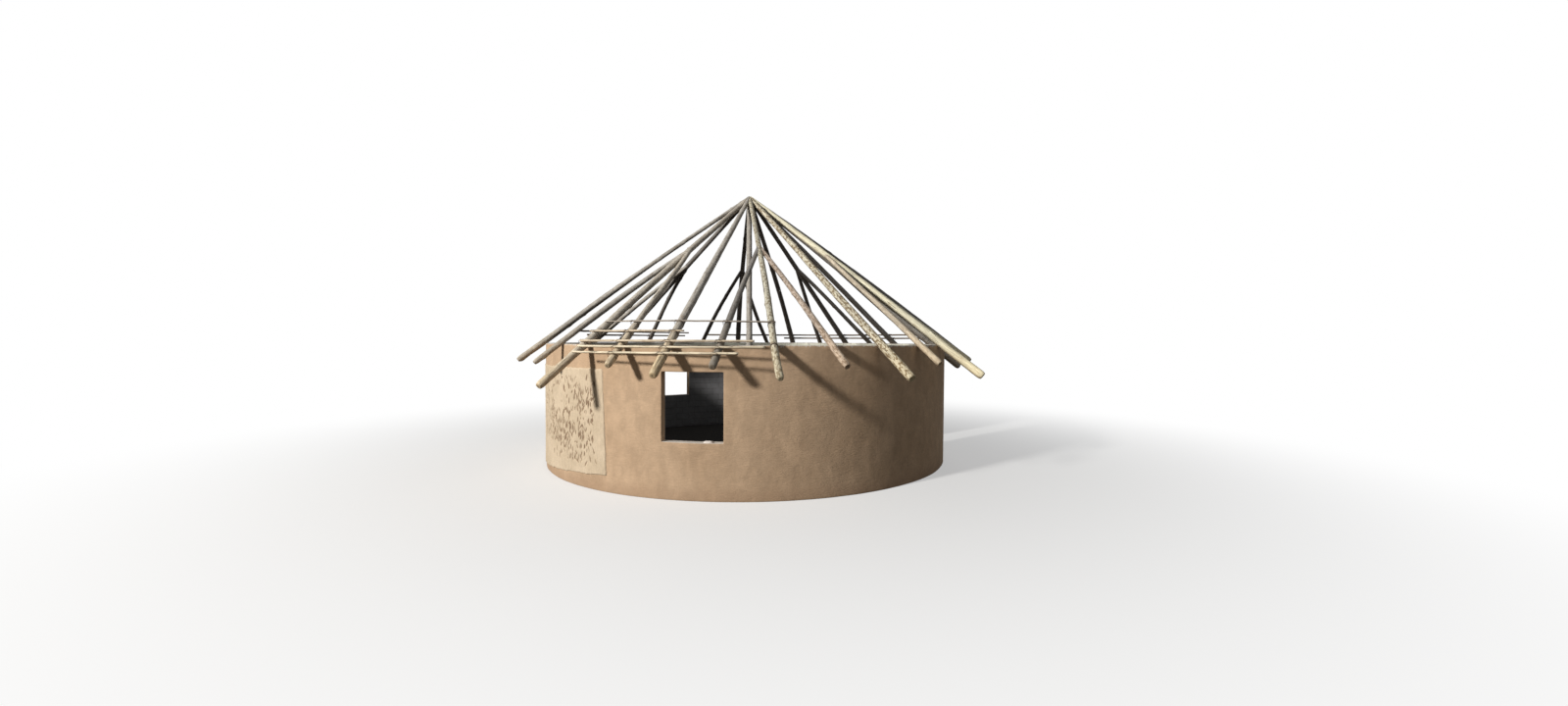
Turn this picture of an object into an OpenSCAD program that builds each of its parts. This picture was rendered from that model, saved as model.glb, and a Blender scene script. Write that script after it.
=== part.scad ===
// Rondavel hut with its bare roof frame: a round plastered wall on a footing, and pole
// rafters that lean together over a centre pole. Every second main rafter is a fork, which
// carries a jack rafter on either side. Millimetres, +Z up, the origin on the hut's axis at
// the foot of the centre pole. Azimuths are in degrees from the front (-Y), positive
// towards +X.

/* [Wall] */
// Outside diameter of the round wall
wall_d = 9500; // [8500:50:10500]
// Thickness of the wall
wall_t = 200; // [150:10:260]
// Height of the wall above its footing
wall_h = 2400; // [2300:10:2800]
// Height of the footing, which shows where the ground falls away
footing_h = 300; // [150:10:500]
// Thickness of the fresh plaster coat on the left side
coat_t = 12; // [6:1:20]
// Height of the fresh coat's upper edge above the footing
coat_top = 1960; // [1200:10:2200]
// How far the fresh coat runs down over the footing at its low end
coat_drop = 240; // [100:10:280]
// Azimuth of the fresh coat's right edge
coat_right_az = -34; // [-45:1:-25]
// Azimuth of the fresh coat's left edge
coat_left_az = -110; // [-130:1:-90]
// Azimuth where the coat's lower edge begins to rise towards its right edge
coat_rise_az = -73; // [-80:1:-60]
// Radius of the coat's rounded upper right corner
coat_corner = 90; // [40:10:150]

/* [Openings] */
// Width of a window opening
window_w = 1110; // [800:10:1300]
// Height of a window opening
window_h = 1220; // [900:10:1300]
// Height of the window sills above the footing
sill_h = 710; // [600:10:900]
// Azimuth of the front window
front_window_az = -12; // [-18:1:-8]
// Azimuth of the back window
back_window_az = 212; // [205:1:218]
// Width of the doorway
door_w = 900; // [800:10:1000]
// Height of the doorway above the footing
door_h = 2030; // [1950:10:2150]
// Azimuth of the doorway
door_az = 100; // [94:1:106]

/* [Roof frame] */
// Slope of the main rafters
roof_pitch = 37; // [32:0.5:42]
// Diameter of a main rafter at the apex
main_head_d = 100; // [85:5:120]
// Diameter of a main rafter where it crosses the wall's outer face
main_wall_d = 155; // [130:5:180]
// Reach of a fork's main rafter past the wall, level
fork_eave = 900; // [700:10:1000]
// Reach of a plain main rafter past the wall, level
plain_eave = 760; // [600:10:900]
// Diameter of a jack rafter at the fork
jack_head_d = 95; // [75:5:100]
// Diameter of a jack rafter where it crosses the wall's outer face
jack_wall_d = 125; // [105:5:130]
// Reach of a jack rafter past the wall, along its own line in plan
jack_eave = 540; // [400:10:700]
// Level distance from the hut's axis to the head of a jack rafter
fork_r = 2060; // [1700:10:2400]
// Depth that each rafter is let down onto the wall's outer edge
seat_cut = 30; // [15:5:40]
// Diameter of the centre pole at its foot
pole_foot_d = 165; // [150:5:200]
// Diameter of the centre pole at its head
pole_head_d = 130; // [110:5:145]
// Depth of the pole's head below the point where the rafters' axes meet
pole_head_drop = 30; // [10:5:60]

/* [Battens] */
// Diameter of a thatching batten
batten_d = 45; // [30:1:60]
// Level distance of the lowest front batten past the wall
batten_eave = 420; // [300:10:480]
// Level distance of the lowest batten on the right past the wall
right_batten_eave = 70; // [0:10:200]
// Level distance of the lowest batten at the back left, inside the wall's outer face
left_batten_inset = 10; // [0:10:200]
// Level distance between two neighbouring battens
batten_step = 130; // [90:5:160]
// Level distance between two front battens where they are further apart, above the wall
upper_step = 240; // [200:10:300]

/* [Fits] */
// Clearance between a cut face and the piece that seats on it
seat_gap = 0.3; // [0.1:0.1:0.5]

/* [Hidden] */
WALLS = ["wall_front_centre", "wall_front_right", "wall_right", "wall_back_right",
    "wall_back_centre", "wall_back_left", "wall_left_back", "wall_left", "wall_left_front",
    "wall_front_left"];
FOOTINGS = ["footing_front_right", "footing_back_right", "footing_back_left",
    "footing_front_left"];
FORKS = [for (i = [1:8]) str("fork_rafters_", i)];
PLAINS = [for (i = [1:8]) str("plain_rafter_", i)];

// Azimuth of each main rafter, a fork and a plain one in turn, as the poles were set
MAIN_AZ = [5, 30, 57.5, 76, 96, 118, 140.5, 162.5, 184.5, 211.5, 233, 248, 281, 291, 321.5,
    343.5];
MAINS = len(MAIN_AZ);
// Azimuth at the wall of each fork's jack rafters, measured from the fork's main rafter. The
// seventh fork has only one, on the side of its near neighbour.
JACK_AZ = [[-10.8, 12.3], [-13.2, 9], [-10, 7], [-11, 10.6], [-11.5, 14], [-12.2, 12.4],
    [6.5], [-11.6, 10.7]];
// How much further than fork_eave or plain_eave each main rafter reaches
MAIN_EXTRA = [-120, 80, 20, -160, 0, -60, 60, -20, -80, 40, 0, -40, -350, -200, 130, -40];
// First and last azimuth of each batten, the lowest batten first
FRONT_BATTEN_AZ = [[319.5, 358], [321, 363], [320, 361], [320.5, 346], [320, 366]];
RIGHT_BATTEN_AZ = [[92, 166], [94, 197]];
LEFT_BATTEN_AZ = [[206, 250], [205, 257]];
// Each batten's level distance up from the lowest one of its side
FRONT_BATTEN_UP = [0, batten_step, 2 * batten_step, 2 * batten_step + upper_step,
    2 * batten_step + 2 * upper_step];
BACK_BATTEN_UP = [0, batten_step];

wall_r = wall_d / 2;
room_r = wall_r - wall_t;
wall_top = footing_h + wall_h;
slope = tan(roof_pitch);
lift = 1 / cos(roof_pitch);
seat_z = wall_top - seat_cut;
apex_z = seat_z + main_wall_d / 2 * lift + wall_r * slope;
pole_top = apex_z - pole_head_drop;
// Reach of the helper solids that only cut others
cut = 2 * wall_d;
$fn = 64;

// Height of a main rafter's axis at a level distance r from the hut's axis
function main_z(r) = apex_z - r * slope;

// Radius of a main rafter there
function main_rad(r) = (main_head_d + (main_wall_d - main_head_d) * r / wall_r) / 2;

// Puts what is drawn along +X at an azimuth
module at_azimuth(az) {
    rotate([0, 0, az - 90]) children();
}

// Part of the round wall between two azimuths and two heights
module ring_arc(az_from, az_to, z_from, z_to) {
    at_azimuth(az_from)
        rotate_extrude(angle = az_to - az_from, $fn = 360)
            translate([room_r, z_from])
                square([wall_t, z_to - z_from]);
}

// The straight-sided hole of an opening, with square jambs
module opening(az, width, z_from, z_to) {
    at_azimuth(az)
        translate([room_r - wall_t, -width / 2, z_from])
            cube([3 * wall_t, width, z_to - z_from]);
}

// All three openings at full height, which part the wall segments from what fills them
module opening_bays() {
    opening(front_window_az, window_w, 0, cut);
    opening(back_window_az, window_w, 0, cut);
    opening(door_az, door_w, 0, cut);
}

// Azimuth where wall segment i starts: three from the front window to the doorway,
// three on to the back window and four back to the front window
function wall_az(i) =
    i < 3 ? front_window_az + (door_az - front_window_az) * i / 3
    : i < 6 ? door_az + (back_window_az - door_az) * (i - 3) / 3
    : back_window_az + (front_window_az + 360 - back_window_az) * (i - 6) / 4;

module wall_segment(i) {
    color("tan")
        difference() {
            ring_arc(wall_az(i), wall_az(i + 1), footing_h, wall_top);
            opening_bays();
        }
}

// The wall under or over an opening
module wall_panel(az, width, z_from, z_to) {
    spread = asin(width / room_r);
    color("tan")
        intersection() {
            ring_arc(az - spread, az + spread, z_from, z_to);
            opening(az, width, 0, cut);
        }
}

module window_breast(az) {
    wall_panel(az, window_w, footing_h, footing_h + sill_h);
}

module window_head(az) {
    wall_panel(az, window_w, footing_h + sill_h + window_h, wall_top);
}

module doorway_head() {
    wall_panel(door_az, door_w, footing_h + door_h, wall_top);
}

module footing(i) {
    sector = 360 / len(FOOTINGS);
    color("rosybrown")
        ring_arc(sector * i, sector * (i + 1), 0, footing_h);
}

// Rough new plaster on the wall's left side, its lower edge falling with the ground
module fresh_plaster_coat() {
    right_x = wall_r * sin(coat_right_az - coat_rise_az);
    left_x = wall_r * sin(coat_left_az - coat_rise_az);
    low_z = footing_h - coat_drop;
    high_z = footing_h + coat_top;
    color("wheat")
        intersection() {
            rotate_extrude($fn = 720)
                translate([wall_r + seat_gap, 0])
                    square([coat_t - seat_gap, wall_top]);
            rotate([0, 0, coat_rise_az])
                rotate([90, 0, 0])
                    linear_extrude(cut)
                        union() {
                            polygon([[left_x, low_z], [0, low_z], [right_x, footing_h],
                                [right_x, high_z - coat_corner],
                                [right_x - coat_corner, high_z - coat_corner],
                                [right_x - coat_corner, high_z], [left_x, high_z]]);
                            translate([right_x - coat_corner, high_z - coat_corner])
                                circle(r = coat_corner);
                        }
        }
}

module centre_pole() {
    color("darkgray")
        cylinder(h = pole_top, d1 = pole_foot_d, d2 = pole_head_d);
}

// A tapering pole along +X that falls at an angle, from its axis at height z_from
module sloping_pole(x_from, z_from, fall, run, rad_from, rad_to) {
    translate([x_from, 0, z_from])
        rotate([0, 90 + fall, 0])
            cylinder(h = run / cos(fall), r1 = rad_from, r2 = rad_to);
}

// The space that holds the wall's top, which a rafter is notched around
module wall_space() {
    rotate_extrude()
        translate([room_r - seat_gap, footing_h])
            square([wall_t + 2 * seat_gap, wall_h + seat_gap]);
}

// The space that holds the centre pole, which the rafters' heads are notched around
module pole_space() {
    cylinder(h = pole_top + seat_gap, d1 = pole_foot_d + 2 * seat_gap,
        d2 = pole_head_d + 2 * seat_gap);
}

// The sector of the apex that main rafter i may fill: halfway to each neighbour
module head_sector(i) {
    az = MAIN_AZ[i];
    before = (MAIN_AZ[(i + MAINS - 1) % MAINS] - az - (i == 0 ? 360 : 0)) / 2;
    after = (MAIN_AZ[(i + 1) % MAINS] - az + (i == MAINS - 1 ? 360 : 0)) / 2;
    middle = (before + after) / 2;
    tip = seat_gap / 2 / sin((after - before) / 2);
    rotate([0, 0, middle])
        translate([tip, 0, 0])
            rotate([0, 0, -middle])
                linear_extrude(cut)
                    polygon([[0, 0], cut * [cos(before), sin(before)],
                        cut * [cos(after), sin(after)]]);
}

// A main rafter along +X, grown all over by a clearance where it is used to cut a jack
module main_pole(reach, grow) {
    start = -main_head_d;
    sloping_pole(start, main_z(start), roof_pitch, wall_r + reach - start,
        main_rad(start) + grow, main_rad(wall_r + reach) + grow);
}

module main_rafter(i) {
    reach = (i % 2 == 0 ? fork_eave : plain_eave) + MAIN_EXTRA[i];
    difference() {
        intersection() {
            main_pole(reach, 0);
            head_sector(i);
        }
        wall_space();
        pole_space();
    }
}

// A jack rafter beside a fork's main rafter, its head scribed to the main rafter's flank
module jack_rafter(wall_angle) {
    wall_x = wall_r * cos(wall_angle) - fork_r;
    wall_y = wall_r * sin(wall_angle);
    wall_run = norm([wall_x, wall_y]);
    turn = atan2(wall_y, wall_x);
    fall = atan((main_z(fork_r) - seat_z - jack_wall_d / 2 * lift) / wall_run);
    run = wall_run + jack_eave;
    growth = (jack_wall_d - jack_head_d) / 2 / wall_run;
    difference() {
        translate([fork_r, 0, 0])
            rotate([0, 0, turn])
                sloping_pole(0, main_z(fork_r), fall, run, jack_head_d / 2,
                    jack_head_d / 2 + growth * run);
        main_pole(fork_eave, seat_gap);
        wall_space();
    }
}

module fork_rafters(i) {
    color(i == 1 ? "burlywood" : "gray")
        at_azimuth(MAIN_AZ[2 * i]) {
            main_rafter(2 * i);
            for (angle = JACK_AZ[i])
                jack_rafter(angle);
        }
}

module plain_rafter(i) {
    color("darkgray")
        at_azimuth(MAIN_AZ[2 * i + 1])
            main_rafter(2 * i + 1);
}

// Battens bent round the outside of the rafters, resting on the main ones, the lowest at a
// level distance low_r from the hut's axis and the others further up
module battens(low_r, up, ends) {
    color("khaki")
        for (k = [0:len(ends) - 1]) {
            r = low_r - up[k];
            z = main_z(r) + (main_rad(r) + batten_d / 2 + seat_gap) * lift;
            at_azimuth(ends[k][0])
                rotate_extrude(angle = ends[k][1] - ends[k][0], $fn = 128)
                    translate([r, z])
                        circle(d = batten_d, $fn = 24);
        }
}

for (i = [0:3])
    footing(i);
for (i = [0:9])
    wall_segment(i);
window_breast(front_window_az);  // front_window_breast
window_head(front_window_az);  // front_window_head
window_breast(back_window_az);  // back_window_breast
window_head(back_window_az);  // back_window_head
doorway_head();
fresh_plaster_coat();
centre_pole();
for (i = [0:7])
    fork_rafters(i);
for (i = [0:7])
    plain_rafter(i);
battens(wall_r + batten_eave, FRONT_BATTEN_UP, FRONT_BATTEN_AZ);  // battens_front
battens(wall_r + right_batten_eave, BACK_BATTEN_UP, RIGHT_BATTEN_AZ);  // battens_right
battens(wall_r - left_batten_inset, BACK_BATTEN_UP, LEFT_BATTEN_AZ);  // battens_left
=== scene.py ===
"""The looks of the rondavel hut: a plastered round wall under a bare frame of natural poles.

Lengths are in metres, in the frame of the CAD model: +Z up, -Y to the front, the origin at the
foot of the centre pole. Azimuths are in radians from the front, positive towards +X.
"""

import math

import bmesh
import bpy
import numpy as np
from mathutils import Matrix, Vector


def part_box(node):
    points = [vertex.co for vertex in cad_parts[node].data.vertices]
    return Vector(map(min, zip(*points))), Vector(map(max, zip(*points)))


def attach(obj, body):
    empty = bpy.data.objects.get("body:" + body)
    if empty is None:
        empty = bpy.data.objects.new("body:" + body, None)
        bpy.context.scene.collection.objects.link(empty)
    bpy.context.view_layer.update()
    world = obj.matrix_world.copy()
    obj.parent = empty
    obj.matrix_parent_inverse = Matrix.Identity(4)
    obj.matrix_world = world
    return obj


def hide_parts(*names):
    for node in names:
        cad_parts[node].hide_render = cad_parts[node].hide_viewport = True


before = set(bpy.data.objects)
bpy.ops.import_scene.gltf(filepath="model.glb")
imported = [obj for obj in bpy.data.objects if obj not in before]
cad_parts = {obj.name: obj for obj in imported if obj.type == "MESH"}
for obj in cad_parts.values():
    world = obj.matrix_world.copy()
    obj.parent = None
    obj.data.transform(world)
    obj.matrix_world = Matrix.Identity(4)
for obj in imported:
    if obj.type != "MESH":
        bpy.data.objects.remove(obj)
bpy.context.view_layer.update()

# Camera, as solved from the wall's outline, the windows and the apex
IMAGE_W = 1600
FOCAL_PX = 589.8
SENSOR_W = 36.0
CAMERA_AT = Vector((0.0, -14.622, 2.798))
CAMERA_YAW = -0.0601
CAMERA_PITCH = 0.0235
CAMERA_ROLL = 0.0043
VIEW_DEPTH = 500

# Colours, linear
WEATHERED = (0.50, 0.47, 0.42)
PALE_GREY = (0.60, 0.55, 0.47)
# A dark grey; on the rear rafters it is painted shade
DARK_GREY_PAINTED_SHADE = (0.26, 0.245, 0.225)
OLIVE_GREY = (0.58, 0.55, 0.44)
MOTTLED = (0.68, 0.63, 0.49)
FRESH = (0.90, 0.85, 0.64)
RUSSET = (0.55, 0.46, 0.38)
TAN = (0.62, 0.54, 0.42)
BATTEN_CREAM = (0.80, 0.70, 0.52)
BATTEN_PALE = (0.68, 0.57, 0.42)
BATTEN_GREY = (0.42, 0.37, 0.31)
# A dark brown that is painted shade of the rear battens
BATTEN_PAINTED_SHADE = (0.27, 0.22, 0.17)
# Grey blocks darkened as painted shade of the interior
BLOCK_PAINTED_SHADE = (0.185, 0.183, 0.187)
BLOCK_PALE = (0.80, 0.79, 0.66)
MORTAR = (0.66, 0.60, 0.53)
MORTAR_DROPPING = (0.80, 0.73, 0.67)
PLASTER_DRY = (0.555, 0.392, 0.255)
PLASTER_DAMP = (0.495, 0.343, 0.218)


def front_point(azimuth, radius, height=0.0):
    """The point or points at an azimuth, a level distance from the hut's axis and a height."""
    return np.stack(np.broadcast_arrays(radius * np.sin(azimuth), -radius * np.cos(azimuth), height), -1)


def azimuth_of(point):
    return math.atan2(point[0], -point[1])


def wrapped(angle):
    """The same angle between -pi and pi."""
    return (angle + math.pi) % math.tau - math.pi


def level_reach(point):
    return math.hypot(point[0], point[1])


def unit(vector):
    return np.asarray(vector, float) / np.linalg.norm(vector)


def smoothstep(low, high, value):
    t = np.clip((value - low) / (high - low), 0, 1)
    return t * t * (3 - 2 * t)


def lattice_hash(cell, seed):
    """A number from -1 to 1 for each whole-number cell."""
    n = cell[:, 0] * 73856093 ^ cell[:, 1] * 19349663 ^ cell[:, 2] * 83492791 ^ seed * 2654435
    n = (n ^ (n >> 13)) * 1274126177
    n = (n ^ (n >> 16)) & 0xFFFFFF
    return n / 0x7FFFFF - 1.0


def noise(points, size, seed):
    """Smooth noise from -1 to 1 at each point, with lumps about size across."""
    place = np.asarray(points, float) / size
    cell = np.floor(place).astype(np.int64)
    t = place - cell
    t = t * t * (3 - 2 * t)
    total = np.zeros(len(place))
    for corner in np.ndindex(2, 2, 2):
        near = np.where(corner, t, 1 - t)
        total += near[:, 0] * near[:, 1] * near[:, 2] * lattice_hash(cell + corner, seed)
    return total


def node_points(name):
    """A CAD node's vertices as an array of rows x, y, z."""
    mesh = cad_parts[name].data
    flat = np.zeros(len(mesh.vertices) * 3)
    mesh.vertices.foreach_get("co", flat)
    return flat.reshape(-1, 3)


def ring_quads(rings, around, flip=False):
    """The numbers of rings of points, and the quads that join each ring to the next."""
    number = np.arange(rings * around).reshape(rings, around)
    after = np.roll(number, -1, 1)
    corners = [number[:-1], after[:-1], after[1:], number[1:]]
    if flip:
        corners = [number[:-1], number[1:], after[1:], after[:-1]]
    return number, np.stack(corners, -1).reshape(-1, 4).tolist()


class Mesh:
    """Points, faces and values at the points, gathered for one piece."""

    def __init__(self):
        self.points = []
        self.faces = []
        self.slots = []
        self.values = {}
        self.count = 0

    def add(self, points, faces, slot=0, **values):
        """faces hold the numbers of this call's points. Each value is one row for each point."""
        points = np.asarray(points, float)
        self.points.append(points)
        self.faces += [tuple(i + self.count for i in face) for face in faces]
        self.slots += list(slot) if hasattr(slot, "__len__") else [slot] * len(faces)
        for name, value in values.items():
            self.values.setdefault(name, []).append(np.asarray(value, float))
        self.count += len(points)

    def build(self, name, materials):
        """Makes the piece, which belongs to the hut's one body."""
        mesh = bpy.data.meshes.new(name)
        mesh.from_pydata(np.concatenate(self.points).tolist(), [], self.faces)
        for m in materials:
            mesh.materials.append(m)
        mesh.polygons.foreach_set("material_index", self.slots)
        mesh.polygons.foreach_set("use_smooth", [True] * len(mesh.polygons))
        for value_name, rows in self.values.items():
            rows = np.concatenate(rows)
            kind, key = ("FLOAT", "value") if rows.ndim == 1 else ("FLOAT_VECTOR", "vector")
            mesh.attributes.new(value_name, kind, "POINT").data.foreach_set(key, rows.ravel())
        mesh.update()
        piece = bpy.data.objects.new(name, mesh)
        bpy.context.scene.collection.objects.link(piece)
        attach(piece, "root")
        return piece


# The sizes of the wall and its openings, read from the CAD nodes
footing_radii = np.hypot(*node_points("footing_front_right")[:, :2].T)
WALL_R = float(footing_radii.max())
ROOM_R = float(footing_radii.min())
FOOTING_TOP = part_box("footing_front_right")[1].z
WALL_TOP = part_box("wall_right")[1].z
SILL_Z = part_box("front_window_breast")[1].z
WINDOW_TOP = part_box("front_window_head")[0].z
DOOR_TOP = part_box("doorway_head")[0].z


def opening_in(panel, low, high):
    """(middle azimuth, width, low, high) of the opening that a CAD panel fills under or over."""
    points = node_points(panel)
    middle = azimuth_of(points.mean(0))
    across = points[:, :2] @ (math.cos(middle), math.sin(middle))
    return middle, float(across.max() - across.min()), low, high


DOORWAY = opening_in("doorway_head", FOOTING_TOP, DOOR_TOP)
OPENINGS = [
    opening_in("front_window_breast", SILL_Z, WINDOW_TOP),
    opening_in("back_window_breast", SILL_Z, WINDOW_TOP),
    DOORWAY,
]


# Materials


class Nodes:
    """A node tree, with short ways to add the nodes that are used here."""

    def __init__(self, tree):
        self.nodes = tree.nodes
        self.links = tree.links

    def put(self, socket, value):
        if isinstance(value, bpy.types.NodeSocket):
            self.links.new(value, socket)
        elif hasattr(value, "__len__") and len(value) == 3 and socket.type == "RGBA":
            socket.default_value = (*value, 1)
        else:
            socket.default_value = value

    def node(self, kind, inputs=None, **settings):
        made = self.nodes.new(kind)
        for key, value in settings.items():
            setattr(made, key, value)
        for key, value in (inputs or {}).items():
            self.put(made.inputs[key], value)
        return made

    def math(self, operation, a, b=0.0):
        return self.node("ShaderNodeMath", {0: a, 1: b}, operation=operation).outputs[0]

    def add(self, a, b):
        return self.math("ADD", a, b)

    def times(self, a, b):
        return self.math("MULTIPLY", a, b)

    def larger(self, a, b):
        return self.math("MAXIMUM", a, b)

    def seen(self):
        """1 for what the camera sees, straight, mirrored or through glass."""
        rays = self.node("ShaderNodeLightPath").outputs
        straight_or_mirrored = self.larger(rays["Is Camera Ray"], rays["Is Glossy Ray"])
        return self.larger(straight_or_mirrored, rays["Is Transmission Ray"])


class Shader(Nodes):
    """A material's nodes."""

    def __init__(self, name):
        self.material = bpy.data.materials.new(name)
        self.material.use_nodes = True
        super().__init__(self.material.node_tree)
        self.surface = self.nodes["Principled BSDF"]

    def finish(self, colour, roughness, normal, specular=0.5):
        self.put(self.surface.inputs["Base Color"], colour)
        self.put(self.surface.inputs["Normal"], normal)
        self.surface.inputs["Roughness"].default_value = roughness
        self.surface.inputs["Specular IOR Level"].default_value = specular
        return self.material

    def position(self):
        return self.node("ShaderNodeNewGeometry").outputs["Position"]

    def facing_up(self):
        return self.split(self.node("ShaderNodeNewGeometry").outputs["Normal"], "Z")

    def attribute(self, name, output="Vector"):
        return self.node("ShaderNodeAttribute", attribute_name=name).outputs[output]

    def scaled(self, vector, scale):
        return self.node("ShaderNodeVectorMath", {0: vector, 1: scale}, operation="MULTIPLY").outputs[0]

    def length(self, vector):
        return self.node("ShaderNodeVectorMath", {0: vector}, operation="LENGTH").outputs["Value"]

    def split(self, vector, axis):
        return self.node("ShaderNodeSeparateXYZ", {0: vector}).outputs[axis]

    def noise(self, vector, scale, detail=3.0, roughness=0.55, distortion=0.0):
        inputs = {"Vector": vector, "Scale": scale, "Detail": detail, "Roughness": roughness,
                  "Distortion": distortion}
        return self.node("ShaderNodeTexNoise", inputs).outputs["Fac"]

    def cells(self, vector, scale):
        return self.node("ShaderNodeTexVoronoi", {"Vector": vector, "Scale": scale}).outputs["Distance"]

    def ramp(self, value, low, high, to_low=0.0, to_high=1.0):
        inputs = {"Value": value, "From Min": low, "From Max": high, "To Min": to_low,
                  "To Max": to_high}
        made = self.node("ShaderNodeMapRange", inputs, interpolation_type="SMOOTHSTEP")
        return made.outputs["Result"]

    def mix(self, amount, a, b):
        made = self.node("ShaderNodeMix", data_type="RGBA")
        self.put(made.inputs["Factor"], amount)
        self.put(made.inputs[6], a)
        self.put(made.inputs[7], b)
        return made.outputs[2]

    def shade(self, colour, value, low, high):
        """The colour times a grey that goes from low to high as value goes from 0.25 to 0.75."""
        inputs = {0: colour, "Scale": self.ramp(value, 0.25, 0.75, low, high)}
        return self.node("ShaderNodeVectorMath", inputs, operation="SCALE").outputs[0]

    def bump(self, height, distance, strength=1.0, under=None):
        inputs = {"Height": height, "Distance": distance, "Strength": strength}
        if under is not None:
            inputs["Normal"] = under
        return self.node("ShaderNodeBump", inputs).outputs["Normal"]


BLOCK_LENGTH = 0.40
BLOCK_HEIGHT = 0.19


def block_courses(s, place, height, ragged):
    """Shares from 0 to 1: how far a place is on the inner face, in a joint, in the top course."""
    reach = s.length(s.scaled(place, (1, 1, 0)))
    inside = s.ramp(s.add(reach, s.times(ragged, 0.02)), ROOM_R + 0.02, ROOM_R + 0.045, 1, 0)
    turn = s.math("ARCTAN2", s.split(place, "X"), s.split(place, "Y"))
    course = s.math("DIVIDE", s.math("SUBTRACT", WALL_TOP, height), BLOCK_HEIGHT)
    half_block = s.times(s.math("MODULO", s.math("FLOOR", course), 2), 0.5)
    blocks_round = round(math.tau * ROOM_R / BLOCK_LENGTH)
    run = s.add(s.times(turn, blocks_round / math.tau), half_block)
    off_x, off_z = [s.math("ABSOLUTE", s.math("SUBTRACT", s.math("FRACT", way), 0.5))
                    for way in (run, course)]
    joints = s.larger(s.ramp(off_x, 0.475, 0.49), s.ramp(off_z, 0.45, 0.48))
    top_course = s.ramp(s.add(course, s.times(ragged, 0.3)), 0.98, 1.18, 1, 0)
    return inside, joints, top_course


def plaster_material():
    """Earth plaster rubbed flat with a float, bare grey blocks inside darkened as painted shade, and
    mortar on the wall's top.
    """
    s = Shader("wall_plaster_look")
    place = s.position()
    height = s.split(place, "Z")
    clouds = s.noise(place, 0.9, 4, 0.6)
    patches = s.noise(s.scaled(place, (1, 1, 0.6)), 4.5, 5, 0.62, 0.4)
    strokes = s.noise(s.scaled(place, (1, 1, 3.2)), 7, 4, 0.6, 1.2)
    ragged = s.noise(s.scaled(place, (1, 1, 0.4)), 9, 4, 0.7)
    grit = s.noise(place, 150, 3, 0.7)
    colour = s.mix(s.ramp(clouds, 0.35, 0.68), PLASTER_DRY, PLASTER_DAMP)
    colour = s.shade(colour, patches, 0.87, 1.1)
    colour = s.shade(colour, strokes, 0.95, 1.04)
    colour = s.shade(colour, grit, 0.9, 1.08)
    specks = s.ramp(s.cells(place, 95), 0.05, 0.16, 0.35, 0.0)
    colour = s.mix(specks, colour, (0.30, 0.20, 0.13))
    splash = s.ramp(s.add(height, s.times(ragged, -0.35)), -0.15, 0.16, 0.4, 0.0)
    colour = s.mix(splash, colour, (0.36, 0.23, 0.145))
    # Inside, blocks darkened as painted shade of the interior, up to a pale top course
    inside, joints, top_course = block_courses(s, place, height, ragged)
    blocks = s.mix(top_course, BLOCK_PAINTED_SHADE, BLOCK_PALE)
    blocks = s.shade(s.shade(blocks, patches, 0.85, 1.12), grit, 0.88, 1.1)
    blocks = s.mix(s.times(joints, 0.6), blocks, s.scaled(blocks, (0.55, 0.52, 0.5)))
    colour = s.mix(inside, colour, blocks)
    # Pale mortar on what faces up, and patchy runs of it down from the wall's top
    smear = s.noise(s.scaled(place, (1, 1, 0.25)), 22, 3, 0.6)
    runs = s.add(s.times(smear, 0.16), s.times(clouds, 0.06))
    low_edge = s.ramp(s.add(height, runs), WALL_TOP + 0.083, WALL_TOP + 0.098)
    mortar = s.larger(s.ramp(s.facing_up(), 0.45, 0.8), low_edge)
    mortar = s.times(mortar, s.ramp(height, 0.5, 0.6))
    colour = s.mix(mortar, colour, s.shade(s.shade(MORTAR, grit, 0.88, 1.1), patches, 0.86, 1.1))
    rough = s.bump(strokes, 0.010, 0.7)
    rough = s.bump(patches, 0.012, 0.5, rough)
    rough = s.bump(grit, 0.0025, 0.8, rough)
    rough = s.bump(s.times(s.times(joints, inside), -1), 0.006, 0.8, rough)
    return s.finish(colour, 0.92, rough, 0.25)


def coat_material():
    """The fresh coat: pale, darker where it is scratched and torn, partly the wall beneath and partly
    painted shade in the pits.
    """
    s = Shader("fresh_coat")
    place = s.position()
    drag = s.noise(s.scaled(place, (1, 1, 0.22)), 42, 4, 0.65)
    grit = s.noise(place, 130, 3, 0.7)
    clouds = s.ramp(s.noise(place, 2.2, 4, 0.6), 0.35, 0.65)
    colour = s.mix(clouds, (0.59, 0.475, 0.335), (0.665, 0.54, 0.39))
    colour = s.shade(s.shade(colour, drag, 0.88, 1.09), grit, 0.9, 1.08)
    # The pits show the wall beneath, darkened further as painted shade
    torn_wall_and_shade = s.mix(s.ramp(drag, 0.35, 0.65), (0.20, 0.135, 0.085), (0.31, 0.215, 0.14))
    colour = s.mix(s.ramp(s.attribute("pit", "Fac"), 0.1, 0.75), colour, torn_wall_and_shade)
    rough = s.bump(grit, 0.004, 0.8, s.bump(drag, 0.012, 0.7))
    return s.finish(colour, 0.95, rough, 0.2)


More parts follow.
